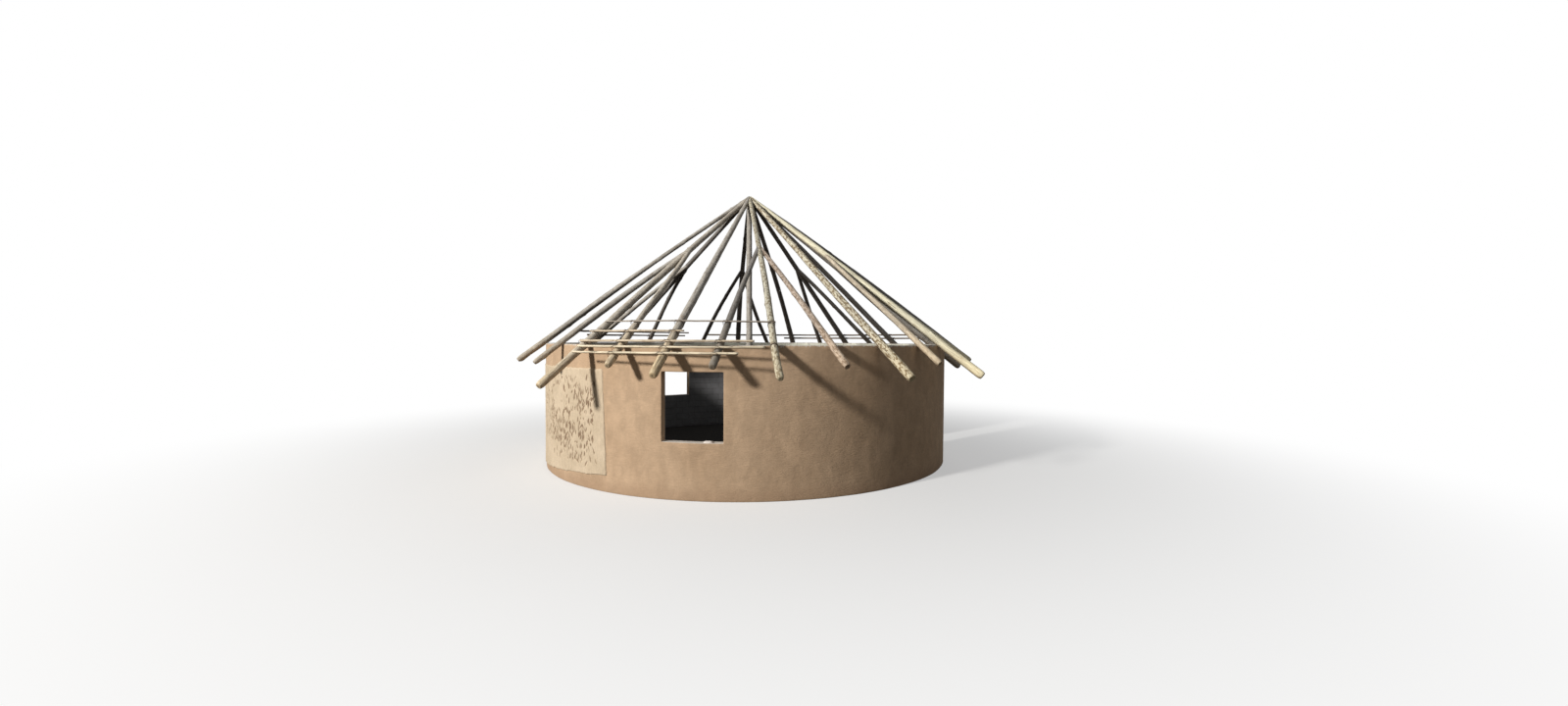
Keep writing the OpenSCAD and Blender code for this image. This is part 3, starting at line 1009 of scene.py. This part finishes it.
JACK_LOOKS = {
    ("fork_rafters_1", 0): look(DARK_GREY_PAINTED_SHADE, 0.016, 0.008),
    ("fork_rafters_1", 1): look(RUSSET, -0.012, 0.014, spots=0.7, hollow=0.05),
    ("fork_rafters_2", 0): look(TAN, 0.0, 0.0, hollow=0.03),
    ("fork_rafters_2", 1): look(FRESH, 0.0, 0.0, spots=0.1),
    ("fork_rafters_3", 1): dict(bow=(0.0, 0.0)),
    ("fork_rafters_4", 0): look(DARK_GREY_PAINTED_SHADE, 0.007, 0.013),
    ("fork_rafters_4", 1): look(DARK_GREY_PAINTED_SHADE, -0.006, -0.002),
    ("fork_rafters_5", 0): look(DARK_GREY_PAINTED_SHADE, -0.046, -0.019),
    ("fork_rafters_5", 1): look(DARK_GREY_PAINTED_SHADE, -0.039, 0.030),
    ("fork_rafters_6", 0): look(DARK_GREY_PAINTED_SHADE, -0.042, 0.029),
    ("fork_rafters_6", 1): dict(bow=(-0.009, 0.025)),
    ("fork_rafters_7", 0): look(WEATHERED, 0.0, 0.038, girth=(0.8, 0.78, 0.85)),
    ("fork_rafters_8", 0): look(WEATHERED, 0.004, 0.029, girth=(0.8, 1.08, 0.9)),
    # The foot light of this jack is painted light on its foot
    ("fork_rafters_8", 1): look(PALE_GREY, 0.0, 0.0, warm=2.0),
}
OTHER_TONES = [WEATHERED, DARK_GREY_PAINTED_SHADE, PALE_GREY, OLIVE_GREY]


def chance_look(seed):
    pick = np.random.default_rng(seed)
    return look(OTHER_TONES[pick.integers(len(OTHER_TONES))], pick.uniform(-0.03, 0.03),
                pick.uniform(-0.012, 0.012))


def add_rafters():
    """Builds every rafter, and returns the main poles by node name, and the jacks."""
    main_poles, jack_poles = {}, []
    nodes = sorted((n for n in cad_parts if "rafter" in n),
                   key=lambda n: azimuth_of(foot_cuts(n)[0][0]))
    feet = [foot_cuts(n) for n in nodes]
    mains = [azimuth_of(cuts[0][0]) for cuts in feet]
    for k, (node, cuts) in enumerate(zip(nodes, feet)):
        azimuth = mains[k]
        before = (mains[k - 1] - azimuth) / 2 if k else (mains[-1] - math.tau - azimuth) / 2
        after = ((mains[k + 1] if k + 1 < len(mains) else mains[0] + math.tau) - azimuth) / 2
        mesh = Mesh()
        foot, up_the_pole, radius = cuts[0]
        reach = level_reach(foot)
        head = foot + up_the_pole * reach / level_reach(up_the_pole)
        seed = 10 * k + 11
        main_look = {**chance_look(seed), **MAIN_LOOKS.get(node, {})}
        main = Pole(foot, head, radius, MAIN_HEAD_RADIUS, seed, seat=1 - WALL_R / reach, **main_look)
        main.add_to(mesh, mitre(azimuth, before, after), head_cap=False)
        main_poles[node] = main
        across = front_point(azimuth + math.pi / 2, 1)
        jack_cuts = sorted(cuts[1:], key=lambda cut: float(cut[0] @ across))
        for j, (jack_foot, jack_up, jack_radius) in enumerate(jack_cuts):
            run = -float(jack_foot @ across) / float(jack_up @ across)
            jack_head = jack_foot + jack_up * run
            fork_along = (reach - level_reach(jack_head)) / reach * main.length
            jack_head = jack_head + main.bend(fork_along)
            jack_seed = seed + 3 + j
            jack_look = {**chance_look(jack_seed), **JACK_LOOKS.get((node, j), {})}
            jack_reach = level_reach(jack_foot)
            seat = (jack_reach - WALL_R) / (jack_reach - level_reach(jack_head))
            jack = Pole(jack_foot, jack_head, jack_radius, JACK_HEAD_RADIUS, jack_seed,
                        seat=seat, sides=16, knots=5, **jack_look)
            jack.add_to(mesh)
            jack_poles.append(jack)
        piece = mesh.build(node + "_poles", WOOD)
        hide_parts(node)
    return main_poles, jack_poles


def add_centre_pole():
    low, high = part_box("centre_pole")
    points = node_points("centre_pole")
    head = points[points[:, 2] > high.z - 0.01]
    head_radius = float(np.hypot(head[:, 0], head[:, 1]).max())
    # The head is a hair off the axis, so that the pole has a direction across it
    foot_at, head_at = (0, 0, low.z + CAP_ROOM), (0, 0.0001, high.z)
    mesh = Mesh()
    Pole(foot_at, head_at, high.x, head_radius, 5, sides=20).add_to(mesh)
    piece = mesh.build("upright_centre_pole", WOOD)
    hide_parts("centre_pole")


# Battens

BATTEN_STEP = 0.05
BATTEN_SIDES = 12
# What the photo shows of single battens, by node and number from the inmost one: colour, radius
# as a share of the CAD batten's thickness, and how much shorter they are at the left
BATTEN_LOOKS = {
    ("battens_front", 0): (BATTEN_GREY, 0.34, 0.16),
    ("battens_front", 1): (BATTEN_PALE, 0.40, 0.0),
    ("battens_front", 2): (BATTEN_PALE, 0.50, 0.10),
    ("battens_front", 3): (BATTEN_CREAM, 0.48, 0.10),
    ("battens_front", 4): (BATTEN_CREAM, 0.49, 0.28),
}
# The other battens are darkened as painted shade
OTHER_BATTEN = (BATTEN_PAINTED_SHADE, 0.56, 0.0)


def batten_arcs(node):
    """Each batten of a CAD node, inmost first: (radius, first azimuth, last azimuth, thickness)."""
    points = node_points(node)
    radii = np.hypot(points[:, 0], points[:, 1])
    order = np.argsort(radii)
    breaks = np.where(np.diff(radii[order]) > 0.05)[0] + 1
    arcs = []
    for members in np.split(order, breaks):
        part, r = points[members], radii[members]
        middle = azimuth_of(part.mean(0))
        off = wrapped(np.arctan2(part[:, 0], -part[:, 1]) - middle)
        arcs.append(((r.min() + r.max()) / 2, middle + off.min(), middle + off.max(),
                     np.ptp(part[:, 2])))
    return arcs


def crossings(poles, radius, first, last):
    """Where poles pass a level distance from the axis: (azimuth, pole, distance along it)."""
    found = []
    for pole in poles:
        along = np.linspace(0, pole.length, 90)
        reach = np.hypot(*pole.heart(along)[:, :2].T)
        if reach[0] < radius or reach[-1] > radius:
            continue
        where = float(np.interp(-radius, -reach, along))
        onward = (azimuth_of(pole.heart(where)) - first) % math.tau
        if onward < last - first:
            found.append((first + onward, pole, where))
    return sorted(found, key=lambda crossing: crossing[0])


def resting_heights(poles, arc, girth):
    """(azimuth, height of the batten's heart) where a batten along an arc lies on each pole."""
    return [(at, float(pole.heart(where)[2]) + (pole.radius(where) + girth) / level_reach(pole.axis))
            for at, pole, where in crossings(poles, *arc)]


def batten_height(main_poles, jack_poles, arc, girth, azimuth):
    """A batten's height: it lies on the main poles, and on the jacks that stand above the line."""
    held = resting_heights(main_poles, arc, girth)
    stops, heights = zip(*held)
    lifted = [(a, z) for a, z in resting_heights(jack_poles, arc, girth)
              if z > np.interp(a, stops, heights)]
    line = np.interp(azimuth, *zip(*sorted(held + lifted)))
    return np.convolve(np.pad(line, 2, mode="edge"), (0.1, 0.2, 0.4, 0.2, 0.1), "valid")


def add_battens(main_poles, jack_poles):
    """Builds the battens, and returns the mesh of the ties that hold them."""
    seed = 900
    ties = Mesh()
    for node in ("battens_front", "battens_right", "battens_left"):
        mesh = Mesh()
        for k, (radius, first, last, thick) in enumerate(batten_arcs(node)):
            seed += 1
            tone, share, trim = BATTEN_LOOKS.get((node, k), OTHER_BATTEN)
            first = first + trim / radius
            girth = thick * share
            arc = radius, first, last
            azimuth = np.linspace(first, last, round((last - first) * radius / BATTEN_STEP) + 1)
            height = batten_height(main_poles, jack_poles, arc, girth, azimuth)
            add_batten(mesh, radius, height, azimuth, girth, seed, tone)
            for at, pole, where in crossings(main_poles + jack_poles, *arc):
                heart = front_point(at, radius, float(np.interp(at, azimuth, height)))
                add_tie(ties, pole, where, heart, girth)
        piece = mesh.build(node + "_laths", WOOD)
        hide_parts(node)
    return ties


def add_batten(mesh, radius, height, azimuth, girth, seed, tone):
    """A thin pole bent round the rafters, thicker at its butt, with small kinks and buds."""
    pick = np.random.default_rng(seed)
    rings = len(azimuth)
    length = float(azimuth[-1] - azimuth[0]) * radius
    line = np.stack([np.linspace(0, length, rings), np.full(rings, seed * 3.1), np.zeros(rings)], -1)
    r = radius + 0.008 * noise(line, 0.8, seed) + 0.003 * noise(line, 0.25, seed + 1)
    z = height + 0.002 * noise(line, 0.22, seed + 3)
    taper = np.linspace(1.0, 0.86, rings) if pick.random() < 0.5 else np.linspace(0.86, 1.0, rings)
    s = np.repeat(line[:, 0], BATTEN_SIDES)
    turn = np.tile(np.linspace(0, math.tau, BATTEN_SIDES, endpoint=False), rings)
    around = np.stack([s, np.cos(turn) * 0.3, np.sin(turn) * 0.3 + seed], -1)
    width = np.repeat(girth * taper, BATTEN_SIDES) * (1 + 0.10 * noise(around, 0.18, seed + 4))
    knot = np.zeros_like(width)
    for _ in range(max(2, round(length / 0.45))):
        at, angle_at = pick.uniform(0, length), pick.uniform(0, math.tau)
        off = wrapped(turn - angle_at) * width
        near = np.exp(-((s - at) / 0.022) ** 2 - (off / 0.012) ** 2)
        width = width + 0.004 * near
        knot = np.maximum(knot, near)
    outward = np.repeat(front_point(azimuth, 1.0), BATTEN_SIDES, axis=0)
    spoke = np.cos(turn)[:, None] * outward + np.sin(turn)[:, None] * np.array([0, 0, 1.0])
    points = np.repeat(front_point(azimuth, r, z), BATTEN_SIDES, axis=0) + spoke * width[:, None]
    number, faces = ring_quads(rings, BATTEN_SIDES)
    slots = [0] * len(faces) + [1, 1]
    faces += [number[0][::-1].tolist(), number[-1].tolist()]
    grain = np.stack([s + seed * 5.7, width * np.cos(turn), width * np.sin(turn)], -1)
    mesh.add(points, faces, slots, grain=grain, knot=knot, split=np.zeros(len(points)),
             tone=np.tile(tone, (len(points), 1)))


# Twine ties

TWINE_RADIUS = 0.0022
TURN_STEPS = 24
TWINE_SIDES = 5
DOUBLE_TURN = 0.0026
WRAPPING_REACH = 4.87
WRAPPING_TURNS = 9
WRAPPING_STEP = 0.0046


def add_turn(mesh, pole, centre, reach, lift, over_batten, lean, shift):
    """One closed turn of twine round a pole, raised at the top to pass over a batten.

    reach is the turn's half width, lift the batten's height over the pole's heart, over_batten
    the turn's reach over the batten, lean how far it goes aside along the pole.
    """
    t = np.linspace(0, math.tau, TURN_STEPS, endpoint=False)
    above = np.where(np.cos(t) > 0, lift + over_batten * np.cos(t), reach * np.cos(t))
    along = lean * np.sin(t) + shift
    path = centre + np.outer(reach * np.sin(t), pole.side) + np.outer(above, pole.over)
    path = path + np.outer(along, pole.axis)
    flat = unit(np.cross(pole.over, pole.side * reach + pole.axis * lean))
    out = np.cross(np.roll(path, -1, 0) - np.roll(path, 1, 0), flat)
    out /= np.linalg.norm(out, axis=1)[:, None]
    points = [path + TWINE_RADIUS * (math.cos(angle) * out + math.sin(angle) * flat)
              for angle in np.linspace(0, math.tau, TWINE_SIDES, endpoint=False)]
    number = np.arange(TWINE_SIDES * TURN_STEPS).reshape(TWINE_SIDES, TURN_STEPS)
    beside, onward = np.roll(number, -1, 0), np.roll(number, -1, 1)
    quads = np.stack([number, onward, np.roll(beside, -1, 1), beside], -1).reshape(-1, 4)
    mesh.add(np.concatenate(points), quads.tolist())


def add_tie(mesh, pole, where, batten_heart, girth):
    """Two crossed double turns that bind a batten to a pole."""
    heart = pole.heart(where)
    centre = heart + pole.axis * float((batten_heart - heart) @ pole.axis)
    lift = float((batten_heart - centre) @ pole.over)
    reach = pole.radius(where) * 1.02 + TWINE_RADIUS
    lean = girth + TWINE_RADIUS
    for way in (-1, 1):
        for shift in (-DOUBLE_TURN, DOUBLE_TURN):
            add_turn(mesh, pole, centre, reach, lift, lean, way * lean, shift)


def add_ties(ties, main_poles):
    """The ties at the battens, and a dark wrapping round the front pole just past the wall."""
    front = main_poles["fork_rafters_1"]
    _, pole, where = crossings([front], WRAPPING_REACH, -math.pi, math.pi)[0]
    reach = pole.radius(where) * 1.03 + TWINE_RADIUS
    for k in range(WRAPPING_TURNS):
        shift = (k - WRAPPING_TURNS // 2) * WRAPPING_STEP
        add_turn(ties, pole, pole.heart(where), reach, 0.0, reach, 0.003, shift)
    ties.build("binding_ties", [TWINE])


# Stage: camera, light, floor and background

LIGHT_AIM = Vector((0, 0, 2))
FLOOR_HALF = 80


def add_camera():
    data = bpy.data.cameras.new("photo_camera")
    camera = bpy.data.objects.new("photo_camera", data)
    bpy.context.scene.collection.objects.link(camera)
    data.sensor_width = SENSOR_W
    data.lens = FOCAL_PX / IMAGE_W * SENSOR_W
    data.clip_end = VIEW_DEPTH
    level = math.cos(CAMERA_PITCH)
    forward = Vector((-math.sin(CAMERA_YAW) * level, math.cos(CAMERA_YAW) * level,
                      -math.sin(CAMERA_PITCH)))
    right = Vector((math.cos(CAMERA_YAW), math.sin(CAMERA_YAW), 0))
    up = right.cross(forward)
    turned_right = right * math.cos(CAMERA_ROLL) + up * math.sin(CAMERA_ROLL)
    turned_up = up * math.cos(CAMERA_ROLL) - right * math.sin(CAMERA_ROLL)
    turn = Matrix((turned_right, turned_up, -forward)).transposed()
    camera.matrix_world = Matrix.Translation(CAMERA_AT) @ turn.to_4x4()
    bpy.context.scene.camera = camera


def add_area_light(name, at, size, power, colour):
    data = bpy.data.lights.new(name, "AREA")
    data.size = size
    data.energy = power
    data.color = colour
    lamp = bpy.data.objects.new(name, data)
    bpy.context.scene.collection.objects.link(lamp)
    lamp.location = at
    lamp.rotation_euler = (LIGHT_AIM - Vector(at)).to_track_quat("-Z", "Y").to_euler()


def add_lights():
    add_area_light("key", (-36.0, -30.2, 20.0), 4.2, 26000, (1, 0.975, 0.94))
    add_area_light("fill", (10, -16, 8), 12, 110, (0.94, 0.97, 1))
    add_area_light("back", (6, 18, 10), 8, 420, (1, 0.99, 0.97))
    world = bpy.data.worlds.new("studio")
    bpy.context.scene.world = world
    world.use_nodes = True
    s = Nodes(world.node_tree)
    s.nodes.clear()
    light = s.node("ShaderNodeBackground", {"Color": (0.97, 0.98, 1), "Strength": 0.13})
    white = s.node("ShaderNodeBackground", {"Color": (1, 1, 1), "Strength": 1.0})
    mix = s.node("ShaderNodeMixShader", {0: s.seen(), 1: light.outputs[0], 2: white.outputs[0]})
    s.node("ShaderNodeOutputWorld", {"Surface": mix.outputs[0]})


def floor_material():
    """Pale where it is seen, white towards the horizon, darker in its light, and dark inside the hut as
    painted shade.
    """
    s = Shader("floor")
    s.nodes.remove(s.surface)
    seen = s.seen()
    reach = s.length(s.position())
    outside = s.ramp(reach, ROOM_R + 0.02, ROOM_R + 0.08)
    shade = s.mix(seen, (0.14, 0.127, 0.11), (0.90, 0.90, 0.89))
    # Painted shade: the floor inside the hut is dark, as if the walls shade it
    shade = s.mix(outside, (0.085, 0.08, 0.075), shade)
    ground = s.node("ShaderNodeBsdfDiffuse", {"Color": shade})
    white = s.node("ShaderNodeEmission")
    far = s.times(s.ramp(reach, 5, 16, 0.42, 1), s.times(outside, seen))
    mix = s.node("ShaderNodeMixShader", {0: far, 1: ground.outputs[0], 2: white.outputs[0]})
    s.links.new(mix.outputs[0], s.nodes["Material Output"].inputs["Surface"])
    return s.material


def add_floor():
    mesh = bpy.data.meshes.new("floor")
    half = FLOOR_HALF
    corners = [(-half, -half, 0), (half, -half, 0), (half, half, 0), (-half, half, 0)]
    mesh.from_pydata(corners, [], [(0, 1, 2, 3)])
    mesh.materials.append(floor_material())
    floor = bpy.data.objects.new("floor", mesh)
    bpy.context.scene.collection.objects.link(floor)


add_camera()
add_wall()
add_sill_mortar()
add_fresh_coat()
add_centre_pole()
mains, jacks = add_rafters()
add_ties(add_battens([*mains.values()], jacks), mains)
add_lights()
add_floor()
bpy.context.scene.view_settings.view_transform = "Standard"

bpy.context.view_layer.update()
